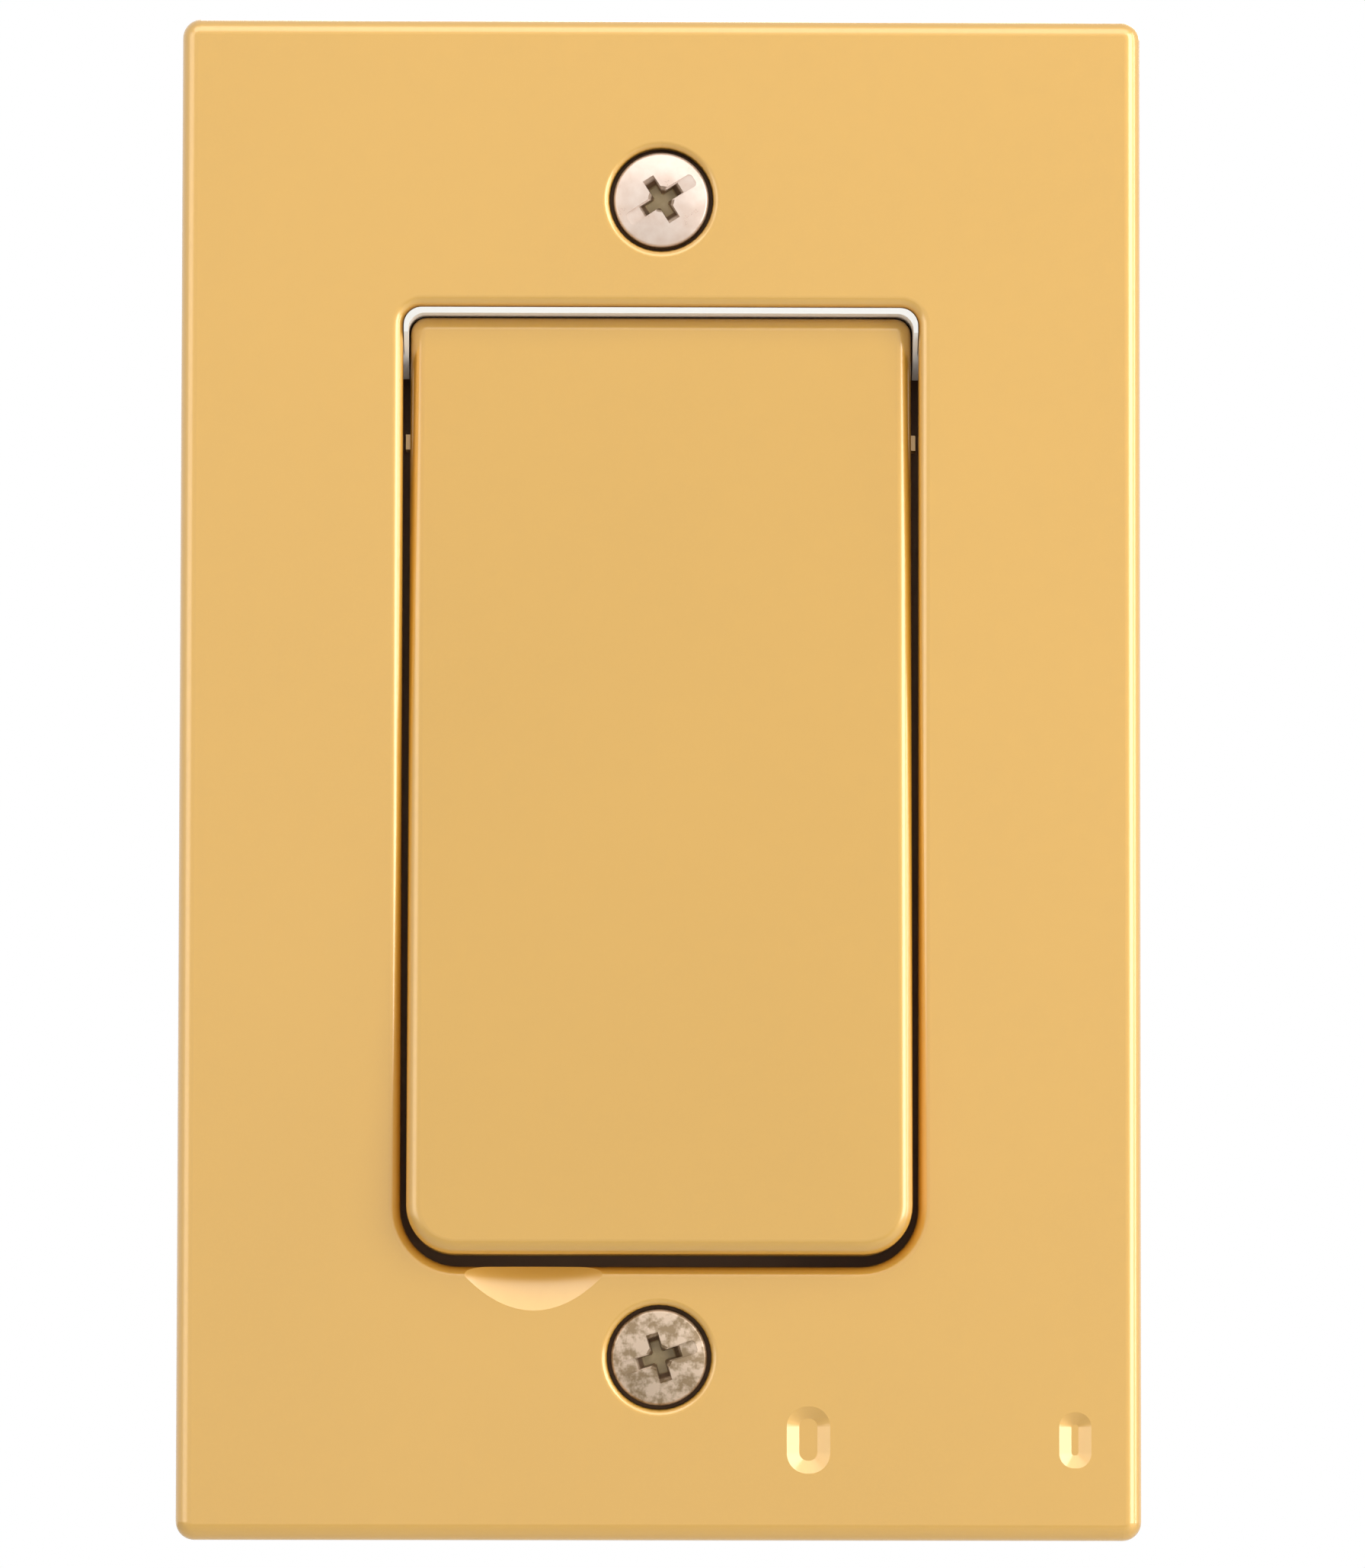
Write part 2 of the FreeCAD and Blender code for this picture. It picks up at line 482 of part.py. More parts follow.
def level_paddle():
    """Paddle before it is tilted: rounded cap, skirt, inner ribs, four snap hooks and two centring nubs."""
    cap = slab(PADDLE_HALF_W, PADDLE_HALF_H, PADDLE_FRONT, PADDLE_BACK, PADDLE_TOP_R, PADDLE_BOTTOM_R,
               cz=OPENING_Z)
    cap = cap.makeFillet(PADDLE_EDGE_R, edges_at(cap, PADDLE_FRONT, lambda b: True))
    inner_w, inner_h = PADDLE_HALF_W - PADDLE_SKIRT, PADDLE_HALF_H - PADDLE_SKIRT
    cap = cap.cut(slab(inner_w, inner_h, PADDLE_SKIN_BACK, PADDLE_BACK + 1, 0.6,
                       PADDLE_BOTTOM_R - PADDLE_SKIRT, cz=OPENING_Z))
    more = []
    for sz in (1, -1):
        rib_z = OPENING_Z + sz * (CARRIER_HALF_H + 1.6)
        more.append(box(-inner_w - 0.2, inner_w + 0.2, PADDLE_SKIN_BACK - 0.2, PADDLE_SKIN_BACK + 1.0,
                        rib_z - RIB_T / 2, rib_z + RIB_T / 2))
        for sx in (1, -1):
            x0, x1 = sorted((sx * HOOK_X, sx * (HOOK_X + HOOK_T)))
            z0 = OPENING_Z + sz * HOOK_Z - HOOK_W / 2
            leg = box(x0, x1, PADDLE_SKIN_BACK - 0.2, CARRIER_BACK + 1.2, z0, z0 + HOOK_W)
            b0, b1 = sorted((sx * HOOK_X, sx * (HOOK_X - HOOK_BARB)))
            barb = box(b0, b1, CARRIER_BACK + 0.1, CARRIER_BACK + 1.2, z0, z0 + HOOK_W)
            more += [leg, barb]
    for sx in (1, -1):
        x0, x1 = sorted((sx * (PADDLE_HALF_W - 0.3), sx * (PADDLE_HALF_W + NUB_OUT)))
        more.append(box(x0, x1, PADDLE_FRONT + 1.5, PADDLE_FRONT + 2.9, OPENING_Z + NUB_Z - NUB_H / 2,
                        OPENING_Z + NUB_Z + NUB_H / 2))
    return union([cap] + more)


def level_carrier():
    """Rocker carrier: the plate that the paddle snaps to, two trunnions and the plunger's tube."""
    plate = slab(CARRIER_HALF_W, CARRIER_HALF_H, PADDLE_SKIN_BACK, CARRIER_BACK, 1.5, cz=OPENING_Z)
    cheeks = []
    for s in (1, -1):
        x0, x1 = sorted((s * (CARRIER_HALF_W - 2.0), s * CARRIER_HALF_W))
        cheeks.append(box(x0, x1, CARRIER_BACK - 0.2, PIVOT_Y + 1.9, OPENING_Z - 2.6, OPENING_Z + 2.6))
        t0, t1 = sorted((s * (CARRIER_HALF_W - 0.5), s * (EAR_X0 + EAR_T)))
        cheeks.append(rod_x(PIVOT_Y, OPENING_Z, TRUNNION_R, t0, t1))
    tube = rod_y(0, OPENING_Z, TUBE_R, CARRIER_BACK - 0.2, TUBE_END)
    spine_half = PAD_Z - 5
    spine = box(-0.8, 0.8, CARRIER_BACK - 0.2, CARRIER_BACK + 1.0,
                OPENING_Z - spine_half, OPENING_Z + spine_half)
    body = union([plate, tube, spine] + cheeks)
    cuts = [rod_y(0, OPENING_Z, TUBE_BORE_R, PADDLE_SKIN_BACK + 0.8, 20)]
    for sx in (1, -1):
        for sz in (1, -1):
            x0, x1 = sorted((sx * (HOOK_X - 0.15), sx * (HOOK_X + HOOK_T + 0.35)))
            z = OPENING_Z + sz * HOOK_Z
            cuts.append(box(x0, x1, -10, 0, z - HOOK_W / 2 - 0.2, z + HOOK_W / 2 + 0.2))
    return body.cut(cuts)


PLUNGER_SHANK_L = 10.0
SPRING_WIRE_R = 0.22
SPRING_TURNS = 6


def level_plunger():
    """Round-nosed plunger with a spring spigot, before it is tilted with the rocker."""
    tip_y = PLUNGER_TIP
    r = TUBE_BORE_R - PLUNGER_PLAY
    back = tip_y - PLUNGER_SHANK_L
    body = rod_y(0, OPENING_Z, r, back, tip_y - PLUNGER_NOSE_R)
    nose = rod_y(0, OPENING_Z, PLUNGER_NOSE_R, tip_y - PLUNGER_NOSE_R - 1, tip_y)
    nose = nose.makeFillet(PLUNGER_NOSE_R - 0.2, edges_at(nose, tip_y, lambda b: True))
    spigot = rod_y(0, OPENING_Z, 0.9, back - 1.5, back + 0.2)
    return union([body, nose, spigot])


def level_spring():
    """Compression spring between the tube's blind end and the plunger."""
    y0 = PADDLE_SKIN_BACK + 0.8 + SPRING_WIRE_R + 0.05
    y1 = PLUNGER_TIP - PLUNGER_SHANK_L - SPRING_WIRE_R - 0.05
    coil_r = TUBE_BORE_R - SPRING_WIRE_R - 0.3
    helix = Part.makeHelix((y1 - y0) / SPRING_TURNS, y1 - y0, coil_r)
    section = Part.Wire(Part.makeCircle(SPRING_WIRE_R, V(coil_r, 0, 0), V(0, 1, 0)))
    coil = Part.Wire(helix.Edges).makePipeShell([section], True, True)
    coil.rotate(V(0, 0, 0), V(1, 0, 0), -90)
    coil.translate(V(0, y0, OPENING_Z))
    return coil


# ---- contact lever -------------------------------------------------------------------------------
def level_lever():
    """See-saw contact lever with a round groove that sits on the common terminal's fulcrum."""
    body = slab(LEVER_W / 2, LEVER_HALF_L, LEVER_BACK - LEVER_T, LEVER_BACK, 1.2, cz=OPENING_Z)
    return body.cut(rod_x(LEVER_PIVOT_Y, OPENING_Z, FULCRUM_R + FULCRUM_PLAY, -10, 10))


def tip(z, y_from, y_to, round_y):
    """Silver contact button with a softened rim on its working face."""
    button = rod_y(0, OPENING_Z + z, CONTACT_R, y_from, y_to)
    return button.makeFillet(0.25, edges_at(button, round_y, lambda b: True))


def level_moving_tips():
    return both_ends(lambda s: tip(s * CONTACT_Z, LEVER_BACK, MOVING_TIP_BACK, MOVING_TIP_BACK))


def fixed_tips():
    face = STRIP_FRONT - CONTACT_H
    return both_ends(lambda s: tip(s * CONTACT_Z, face, STRIP_FRONT, face))


# ---- terminals -----------------------------------------------------------------------------------
def common_strip():
    """Strip from the common terminal to the fulcrum that carries the lever."""
    arm = box(-HOUSING_HALF_IN_W + 0.4, 3, STRIP_FRONT, BLOCK_FRONT,
              OPENING_Z - STRIP_W / 2, OPENING_Z + STRIP_W / 2)
    post = box(-2.5, 2.5, LEVER_PIVOT_Y, STRIP_FRONT + 0.2, OPENING_Z - FULCRUM_R, OPENING_Z + FULCRUM_R)
    return union([arm, post, rod_x(LEVER_PIVOT_Y, OPENING_Z, FULCRUM_R, -2.5, 2.5)])


def traveller_strip(side):
    """L-shaped strip from a traveller terminal to its fixed contact."""
    half = STRIP_W / 2
    z_block = side * BLOCK_Z
    z0, z1 = sorted((side * (CONTACT_Z - 2.4), z_block))
    leg = box(-half, half, STRIP_FRONT, BLOCK_FRONT, OPENING_Z + z0, OPENING_Z + z1)
    foot = box(-half, HOUSING_HALF_IN_W - 0.4, STRIP_FRONT, BLOCK_FRONT, OPENING_Z + z_block - half,
               OPENING_Z + z_block + half)
    return union([leg, foot])


def terminal_block(side_x, z):
    """Brass tunnel block: wire bore from the back, clamping thread from the side."""
    x0, x1 = sorted((side_x * BLOCK_X0, side_x * HOUSING_HALF_IN_W))
    body = box(x0, x1, BLOCK_FRONT, HOUSING_FLOOR, OPENING_Z + z - BLOCK_W / 2, OPENING_Z + z + BLOCK_W / 2)
    bore = rod_y(side_x * BLOCK_MID_X, OPENING_Z + z, WIRE_BORE_R, HOUSING_FLOOR - WIRE_BORE_DEPTH, 40)
    t0, t1 = sorted((side_x * BLOCK_MID_X, side_x * (HOUSING_HALF_IN_W + 1)))
    return body.cut([bore, rod_x(TERMINAL_SCREW_Y, OPENING_Z + z, TERMINAL_SCREW_D / 2 + 0.05, t0, t1)])


TERMINALS = ((-1, 0.0), (1, BLOCK_Z), (1, -BLOCK_Z))   # side and height of each wire terminal


def terminal_screw(side_x, z):
    """Slotted clamping screw, backed out just clear of the wire bore."""
    head0 = HOUSING_HALF_IN_W
    shank = rod_x(TERMINAL_SCREW_Y, OPENING_Z + z, TERMINAL_SCREW_D / 2,
                  BLOCK_MID_X + WIRE_BORE_R + 0.1, head0 + 0.3)
    head = rod_x(TERMINAL_SCREW_Y, OPENING_Z + z, TERMINAL_HEAD_D / 2, head0, head0 + TERMINAL_HEAD_H)
    slot = box(head0 + TERMINAL_HEAD_H - 1.0, head0 + 5, TERMINAL_SCREW_Y - 0.5, TERMINAL_SCREW_Y + 0.5,
               OPENING_Z + z - 4, OPENING_Z + z + 4)
    screw = union([shank, head]).cut(slot)
    if side_x < 0:
        screw = screw.mirror(V(0, 0, 0), V(1, 0, 0))
    return screw


# ---- housing -------------------------------------------------------------------------------------
def housing():
    """Moulded rear housing: wide mouth behind the strap, narrow deep body, inner ribs, four lugs."""
    mouth_w, mouth_h = WINDOW_HALF_W + MOUTH_WALL, WINDOW_HALF_H + MOUTH_WALL
    body_w, body_h = HOUSING_HALF_IN_W + HOUSING_WALL, HOUSING_HALF_IN_H + HOUSING_WALL
    body = union([slab(mouth_w, mouth_h, 0, HOUSING_MOUTH_DEPTH + 1.4, 2.0, cz=OPENING_Z),
                  slab(body_w, body_h, 1, HOUSING_DEPTH, 2.0, cz=OPENING_Z)])
    inner = [slab(WINDOW_HALF_W, WINDOW_HALF_H, -1, HOUSING_MOUTH_DEPTH, 1.0, cz=OPENING_Z),
             slab(HOUSING_HALF_IN_W, HOUSING_HALF_IN_H, 1, HOUSING_FLOOR, 0.5, cz=OPENING_Z)]
    body = body.cut(inner)
    more = [box(-2.4, 2.4, BLOCK_FRONT, HOUSING_FLOOR + 0.2, OPENING_Z - 2.2, OPENING_Z + 2.2)]
    for sz in (1, -1):
        z = OPENING_Z + sz * CONTACT_Z
        more.append(box(-2.4, 2.4, BLOCK_FRONT, HOUSING_FLOOR + 0.2, z - 2.0, z + 2.0))
        for sx in (1, -1):
            z0, z1 = sorted((OPENING_Z + sz * (mouth_h - 0.4), OPENING_Z + sz * LUG_HALF_H))
            more.append(box(sx * RIVET_X - 3.5, sx * RIVET_X + 3.5, 0, LUG_T, z0, z1))
    body = union([body] + more)
    cuts = []
    for sx in (1, -1):
        for sz in (1, -1):
            cuts.append(rod_y(sx * RIVET_X, OPENING_Z + sz * RIVET_Z, RIVET_D / 2 + 0.05, -1, 5))
    for side_x, z in TERMINALS:
        cuts.append(rod_y(side_x * BLOCK_MID_X, OPENING_Z + z, WIRE_ENTRY_R, HOUSING_FLOOR - 0.1, 40))
        x0, x1 = sorted((side_x * (HOUSING_HALF_IN_W - 0.1), side_x * (body_w + 1)))
        cuts.append(rod_x(TERMINAL_SCREW_Y, OPENING_Z + z, TERMINAL_HEAD_D / 2 + 0.4, x0, x1))
    return body.cut(cuts)


# ---- assembly ------------------------------------------------------------------------------------
def at_rest(shape):
    """Rocker pieces as stored: top end pressed in."""
    return turned(shape, PIVOT, -ROCKER_TILT)


def lever_at_rest(shape):
    """Lever pieces as stored: lower contact closed."""
    return turned(shape, LEVER_PIVOT, LEVER_TILT)


def build():
    nodes = {
        "face_plate": face_plate(),
        "plate_screws": both_ends(box_screw),
        "captive_washers": both_ends(captive_washer),
        "mounting_strap": mounting_strap(),
        "earth_screw": earth_screw(),
        "earth_clamp": earth_clamp(),
        "front_frame": front_frame(),
        "gap_lip": gap_lip(),
        "stop_pads": both_ends(stop_pad),
        "rivets": Part.makeCompound([rivet(sx, sz) for sx in (1, -1) for sz in (1, -1)]),
        "housing": housing(),
        "paddle": at_rest(level_paddle()),
        "rocker_carrier": at_rest(level_carrier()),
        "plunger": at_rest(level_plunger()),
        "plunger_spring": at_rest(level_spring()),
        "contact_lever": lever_at_rest(level_lever()),
        "moving_contacts": lever_at_rest(level_moving_tips()),
        "fixed_contacts": fixed_tips(),
        "common_strip": common_strip(),
        "upper_strip": traveller_strip(1),
        "lower_strip": traveller_strip(-1),
        "terminal_screws": Part.makeCompound([terminal_screw(*t) for t in TERMINALS]),
    }
    for name, (side_x, z) in zip(("common_block", "upper_block", "lower_block"), TERMINALS):
        nodes[name] = terminal_block(side_x, z)
    return nodes


os.makedirs("parts", exist_ok=True)
for node, shape in build().items():
    solids = shape.Solids
    ok = all(s.isValid() and s.isClosed() for s in solids)
    print(f"{node}: {len(solids)} solid(s), {sum(s.Volume for s in solids):.1f} mm3, valid {ok}")
    shape.exportStep(f"parts/{node}.step")
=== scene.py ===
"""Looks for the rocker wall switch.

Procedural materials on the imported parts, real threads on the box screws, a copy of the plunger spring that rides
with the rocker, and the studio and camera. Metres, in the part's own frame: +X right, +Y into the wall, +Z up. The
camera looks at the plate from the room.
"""

import bpy
import bmesh
import math
from mathutils import Matrix, Vector


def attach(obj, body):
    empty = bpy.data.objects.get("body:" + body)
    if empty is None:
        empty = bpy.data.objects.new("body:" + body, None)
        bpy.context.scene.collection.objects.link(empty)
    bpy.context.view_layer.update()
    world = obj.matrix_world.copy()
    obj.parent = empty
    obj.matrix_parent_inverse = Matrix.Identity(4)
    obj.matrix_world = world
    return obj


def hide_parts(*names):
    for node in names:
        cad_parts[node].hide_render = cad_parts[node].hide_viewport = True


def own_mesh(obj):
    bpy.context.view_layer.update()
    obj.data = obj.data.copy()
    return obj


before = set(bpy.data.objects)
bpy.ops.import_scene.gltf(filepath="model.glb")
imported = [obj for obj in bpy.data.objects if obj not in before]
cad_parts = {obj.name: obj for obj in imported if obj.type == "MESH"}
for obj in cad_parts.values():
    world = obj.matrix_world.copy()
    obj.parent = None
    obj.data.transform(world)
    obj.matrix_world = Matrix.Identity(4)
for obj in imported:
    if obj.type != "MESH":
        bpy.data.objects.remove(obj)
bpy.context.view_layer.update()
MM = 0.001


# ---- node helpers -------------------------------------------------------------------------------------------
class Shader:
    """A material's node tree with a Principled shader, and short ways to add to it."""

    def __init__(self, name):
        self.mat = bpy.data.materials.new(name)
        self.mat.use_nodes = True
        self.nodes = self.mat.node_tree.nodes
        self.links = self.mat.node_tree.links
        self.bsdf = self.nodes["Principled BSDF"]
        self.coords = self.add("ShaderNodeTexCoord").outputs["Object"]

    def add(self, kind, **settings):
        node = self.nodes.new(kind)
        for key, value in settings.items():
            setattr(node, key, value)
        return node

    def link(self, a, b):
        self.links.new(a, b)

    def stretch(self, scale, turn=(0, 0, 0)):
        """Object coordinates scaled along each axis, for streaks."""
        mapping = self.add("ShaderNodeMapping")
        mapping.inputs["Scale"].default_value = scale
        mapping.inputs["Rotation"].default_value = turn
        self.link(self.coords, mapping.inputs["Vector"])
        return mapping.outputs["Vector"]

    def noise(self, scale, detail=3.0, roughness=0.5, vector=None):
        node = self.add("ShaderNodeTexNoise")
        node.inputs["Scale"].default_value = scale
        node.inputs["Detail"].default_value = detail
        node.inputs["Roughness"].default_value = roughness
        self.link(vector or self.coords, node.inputs["Vector"])
        return node.outputs["Fac"]

    def cells(self, scale):
        """Patches, each of one random colour."""
        node = self.add("ShaderNodeTexVoronoi")
        node.inputs["Scale"].default_value = scale
        self.link(self.coords, node.inputs["Vector"])
        return node.outputs["Color"]

    def ramp(self, value, *stops):
        """Colour ramp; each stop is (position, colour)."""
        node = self.add("ShaderNodeValToRGB")
        elements = node.color_ramp.elements
        while len(elements) < len(stops):
            elements.new(0.5)
        for element, (position, colour) in zip(elements, stops):
            element.position = position
            element.color = (*colour, 1.0)
        self.link(value, node.inputs["Fac"])
        return node.outputs["Color"]

    def axis(self, which):
        """One object coordinate, in metres."""
        split = self.add("ShaderNodeSeparateXYZ")
        self.link(self.coords, split.inputs["Vector"])
        return split.outputs[which]

    def size(self, value):
        """A number without its sign."""
        node = self.add("ShaderNodeMath", operation="ABSOLUTE")
        self.link(value, node.inputs[0])
        return node.outputs[0]

    def times(self, a, b):
        node = self.add("ShaderNodeMath", operation="MULTIPLY")
        self.link(a, node.inputs[0])
        self.link(b, node.inputs[1])
        return node.outputs[0]

    def spread(self, value, low, high, from_low=0.0, from_high=1.0):
        """A number from one range mapped to low ... high, and held there outside it."""
        node = self.add("ShaderNodeMapRange")
        node.inputs["From Min"].default_value = from_low
        node.inputs["From Max"].default_value = from_high
        node.inputs["To Min"].default_value = low
        node.inputs["To Max"].default_value = high
        self.link(value, node.inputs["Value"])
        return node.outputs["Result"]

    def mix(self, fac, a, b):
        """Colour mix; a and b are sockets."""
        node = self.add("ShaderNodeMix", data_type="RGBA")
        self.link(fac, node.inputs["Factor"])
        self.link(a, node.inputs["A"])
        self.link(b, node.inputs["B"])
        return node.outputs["Result"]

    def bump(self, *layers):
        """Bumps on top of each other; each layer is (height socket, strength, distance in metres)."""
        normal = None
        for height, strength, distance in layers:
            node = self.add("ShaderNodeBump")
            node.inputs["Strength"].default_value = strength
            node.inputs["Distance"].default_value = distance
            self.link(height, node.inputs["Height"])
            if normal:
                self.link(normal, node.inputs["Normal"])
            normal = node.outputs["Normal"]
        self.link(normal, self.bsdf.inputs["Normal"])

    def finish(self, colour, roughness, metallic=0.0, specular=0.5, coat=0.0, coat_roughness=0.1, coat_ior=1.5):
        self.link(colour, self.bsdf.inputs["Base Color"])
        self.link(roughness, self.bsdf.inputs["Roughness"])
        self.bsdf.inputs["Metallic"].default_value = metallic
        self.bsdf.inputs["Specular IOR Level"].default_value = specular
        self.bsdf.inputs["Coat Weight"].default_value = coat
        self.bsdf.inputs["Coat Roughness"].default_value = coat_roughness
        self.bsdf.inputs["Coat IOR"].default_value = coat_ior
        return self.mat


# ---- materials ----------------------------------------------------------------------------------------------
PLATE_GOLD = (0.772, 0.427, 0.055)
PADDLE_GOLD = (0.715, 0.390, 0.040)
# Dark brown of the plate's unlacquered inside, which is also painted shade on the walls of the opening and the
# screw seats.
CASTING_AND_SHADE = ((0.15, 0.08, 0.038), (0.20, 0.11, 0.052))

# Where one look gives way to the next, each from and to, in metres.
INSIDE_Y = (-4.8 * MM, -4.5 * MM)
INSIDE_HALF_WIDTH = (32.6 * MM, 32.9 * MM)
INSIDE_HALF_HEIGHT = (52.7 * MM, 53.0 * MM)
SCREW_SIDE_Y = (-5.62 * MM, -5.35 * MM)
SCREW_FLOOR_Y = (-4.95 * MM, -4.75 * MM)
SCREW_NECK_Y = (-2.0 * MM, -1.6 * MM)
BETWEEN_SCREWS_Z = (-1.0 * MM, 1.0 * MM)


def around(colour, amount):
    """A colour a little darker and a little lighter."""
    return [tuple(c * (1 - amount) for c in colour), tuple(min(c * (1 + amount), 1.0) for c in colour)]


def satin_gold(name, colour, turn=0.0, inside=None):
    """Fine satin lacquer over metal: faint cloudiness, fine grain in the gloss, tiny orange peel.

    inside(shader) gives the share of bare, unlacquered casting in dark brown, which is also painted shade on the
    walls of the opening and screw seats.
    """
    s = Shader(name)
    cloud = s.noise(38.0, 4.0, 0.55)
    low, high = around(colour, 0.02)
    fine = s.noise(5200.0, 2.0, 0.5)
    speck_low, speck_high = around(colour, 0.012)
    base = s.mix(s.spread(fine, 0.0, 0.5, 0.3, 0.7), s.ramp(cloud, (0.3, low), (0.7, high)),
                 s.ramp(fine, (0.35, speck_low), (0.65, speck_high)))
    if inside:
        unlacquered_and_shaded = inside(s)
        # Dark brown on the unlacquered inside, which is also painted shade on the walls of the opening and screw
        # seats.
        base = s.mix(unlacquered_and_shaded, base, s.ramp(cloud, (0.3, CASTING_AND_SHADE[0]), (0.7, CASTING_AND_SHADE[1])))
        s.link(s.spread(unlacquered_and_shaded, 1.0, 0.0), s.bsdf.inputs["Coat Weight"])
    grain = s.noise(2600.0, 3.0, 0.6, s.stretch((1.0, 1.0, 0.5), (0, turn, 0)))
    s.bump((s.noise(900.0, 2.0), 0.10, 0.00003), (grain, 0.18, 0.00001))
    return s.finish(base, s.spread(grain, 0.36, 0.46, 0.3, 0.7), metallic=0.35, specular=0.3, coat=1.0,
                    coat_roughness=0.20, coat_ior=2.0)


def behind_plate_face(s):
    """1 on the inner walls and back, dark casting and painted shade in opening and seats; 0 on face and outer
    sides.
    """
    deep = s.spread(s.axis("Y"), 0.0, 1.0, *INSIDE_Y)
    within_x = s.spread(s.size(s.axis("X")), 1.0, 0.0, *INSIDE_HALF_WIDTH)
    within_z = s.spread(s.size(s.axis("Z")), 1.0, 0.0, *INSIDE_HALF_HEIGHT)
    return s.times(s.times(deep, within_x), within_z)


def plated(name, colour, tint, roughness):
    """Plated steel: clouded between two tints, with fine scratches."""
    s = Shader(name)
    cloud = s.noise(420.0, 4.0, 0.6)
    scratch = s.noise(1500.0, 3.0, 0.7, s.stretch((1.0, 1.0, 14.0), (0, 0.6, 0)))
    base = s.ramp(cloud, (0.3, colour), (0.7, tint))
    s.bump((scratch, 0.25, 0.00001), (s.noise(3000.0), 0.15, 0.000006))
    return s.finish(base, s.spread(scratch, roughness - 0.06, roughness + 0.1, 0.3, 0.7), metallic=1.0)


def box_screw_plating(name):
    """Pale plating, stained brown on the lower screw; painted shade darkens the head's side and its recess."""
    s = Shader(name)
    cloud = s.noise(700.0, 4.0, 0.6)
    stain = s.noise(900.0, 3.0, 0.65)
    upper = s.ramp(cloud, (0.3, (0.76, 0.58, 0.47)), (0.7, (0.86, 0.72, 0.62)))
    lower = s.ramp(stain, (0.42, (0.32, 0.22, 0.12)), (0.58, (0.68, 0.52, 0.38)))
    metal = s.mix(s.spread(s.axis("Z"), 1.0, 0.0, *BETWEEN_SCREWS_Z), upper, lower)
    # Painted shade: dark brown on the head's side and recess walls, a lighter brown further in.
    recess_shade = s.ramp(cloud, (0.3, (0.10, 0.05, 0.022)), (0.7, (0.20, 0.11, 0.055)))
    floor = s.ramp(cloud, (0.3, (0.42, 0.31, 0.15)), (0.7, (0.60, 0.47, 0.27)))
    depth = s.axis("Y")
    shaded_walls = s.mix(s.spread(depth, 0.0, 1.0, *SCREW_FLOOR_Y), recess_shade, floor)
    deep = s.times(s.spread(depth, 0.0, 1.0, *SCREW_SIDE_Y), s.spread(depth, 1.0, 0.0, *SCREW_NECK_Y))
    s.bump((s.noise(1600.0, 3.0), 0.25, 0.00001), (stain, 0.3, 0.00002))
    s.link(s.spread(deep, 0.5, 0.0), s.bsdf.inputs["Metallic"])
    s.link(s.spread(deep, 0.3, 0.0), s.bsdf.inputs["Coat Weight"])
    return s.finish(s.mix(deep, metal, shaded_walls), s.spread(cloud, 0.26, 0.40, 0.3, 0.7))


def galvanised(name):
    """Zinc-coated strip: flat crystal patches of slightly different brightness, rolled fine lines."""
    s = Shader(name)
    patch = s.add("ShaderNodeRGBToBW")
    s.link(s.cells(260.0), patch.inputs["Color"])
    lines = s.noise(700.0, 3.0, 0.6, s.stretch((1.0, 1.0, 0.06)))
    base = s.ramp(patch.outputs["Val"], (0.1, (0.50, 0.51, 0.53)), (0.9, (0.68, 0.69, 0.71)))
    s.bump((lines, 0.2, 0.00001))
    return s.finish(base, s.spread(patch.outputs["Val"], 0.28, 0.5), metallic=0.95)


def moulded(name, colour, roughness=0.42, grain=1400.0, peel=0.25):
    """Moulded plastic: faint flow clouds and a fine spark-eroded texture."""
    s = Shader(name)
    flow = s.noise(55.0, 3.0, 0.5)
    low, high = around(colour, 0.03)
    texture = s.noise(grain, 3.0, 0.6)
    s.bump((texture, peel, 0.00002))
    return s.finish(s.ramp(flow, (0.3, low), (0.7, high)), s.spread(texture, roughness - 0.06, roughness + 0.08),
                    specular=0.45)


def rolled_metal(name, colour, tint, roughness=0.3, scale=(1.0, 0.05, 1.0)):
    """Strip or bar metal with drawn lines along one axis and slight discolouring."""
    s = Shader(name)
    lines = s.noise(1300.0, 4.0, 0.6, s.stretch(scale))
    stain = s.noise(160.0, 3.0, 0.5)
    s.bump((lines, 0.3, 0.00001))
    return s.finish(s.ramp(stain, (0.3, colour), (0.7, tint)), s.spread(lines, roughness - 0.08, roughness + 0.12),
                    metallic=1.0)


def fibre(name):
    """Vulcanised fibre: red-brown board with short fibres."""
    s = Shader(name)
    strands = s.noise(900.0, 5.0, 0.7, s.stretch((1.0, 1.0, 4.0), (0, 0.4, 0)))
    s.bump((strands, 0.5, 0.00003))
    return s.finish(s.ramp(strands, (0.3, (0.20, 0.045, 0.02)), (0.7, (0.34, 0.09, 0.04))),
                    s.spread(strands, 0.6, 0.8), specular=0.3)


def rubber(name):
    """Black rubber with a little dust."""
    s = Shader(name)
    dust = s.noise(700.0, 4.0, 0.6)
    s.bump((dust, 0.3, 0.00002))
    return s.finish(s.ramp(dust, (0.35, (0.018, 0.018, 0.018)), (0.75, (0.045, 0.043, 0.04))),
                    s.spread(dust, 0.65, 0.85), specular=0.35)


def silver(name):
    """Silver contact faces: a dull mirror with fine polishing marks."""
    s = Shader(name)
    polish = s.noise(2500.0, 4.0, 0.6)
    s.bump((polish, 0.2, 0.000008))
    return s.finish(s.ramp(polish, (0.3, (0.74, 0.73, 0.70)), (0.7, (0.86, 0.85, 0.82))),
                    s.spread(polish, 0.22, 0.36), metallic=1.0)


